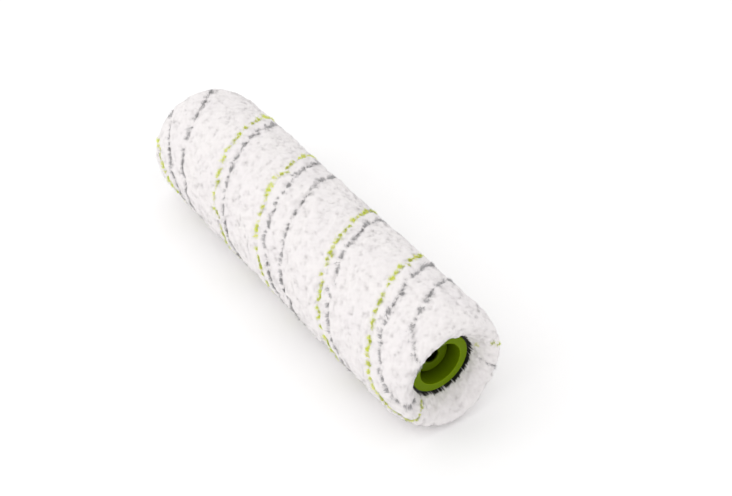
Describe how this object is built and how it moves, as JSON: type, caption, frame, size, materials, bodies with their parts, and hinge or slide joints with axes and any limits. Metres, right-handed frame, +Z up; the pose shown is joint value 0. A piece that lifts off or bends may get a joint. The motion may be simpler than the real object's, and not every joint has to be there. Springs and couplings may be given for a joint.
{
  "type": "paint roller sleeve",
  "caption": "Soft-pile paint roller sleeve: a wound plastic core with a bored cup-shaped cap at each end, covered in striped microfibre pile.",
  "frame": {"origin": "on the resting plane, below the middle of the sleeve's axis", "axes": "+X along the sleeve's axis, towards the near end cap; +Z up from the resting plane; the axis is 34.1 mm above it"},
  "size_m": [0.25, 0.07, 0.0691],
  "materials": {
    "cap_plastic": "satin",
    "core_plastic": "satin",
    "backing": "matte",
    "pile": "matte",
    "lime_yarn": "matte",
    "grey_yarn": "matte"
  },
  "bodies": {
    "root": {"near_end_cap": "cap_plastic", "far_end_cap": "cap_plastic", "core_tube": "core_plastic", "backing_strip": "backing", "pile": "pile", "lime_row_1": "lime_yarn", "lime_row_2": "lime_yarn", "grey_row_1": "grey_yarn", "grey_row_2": "grey_yarn", "grey_row_3": "grey_yarn"}
  },
  "joints": []
}
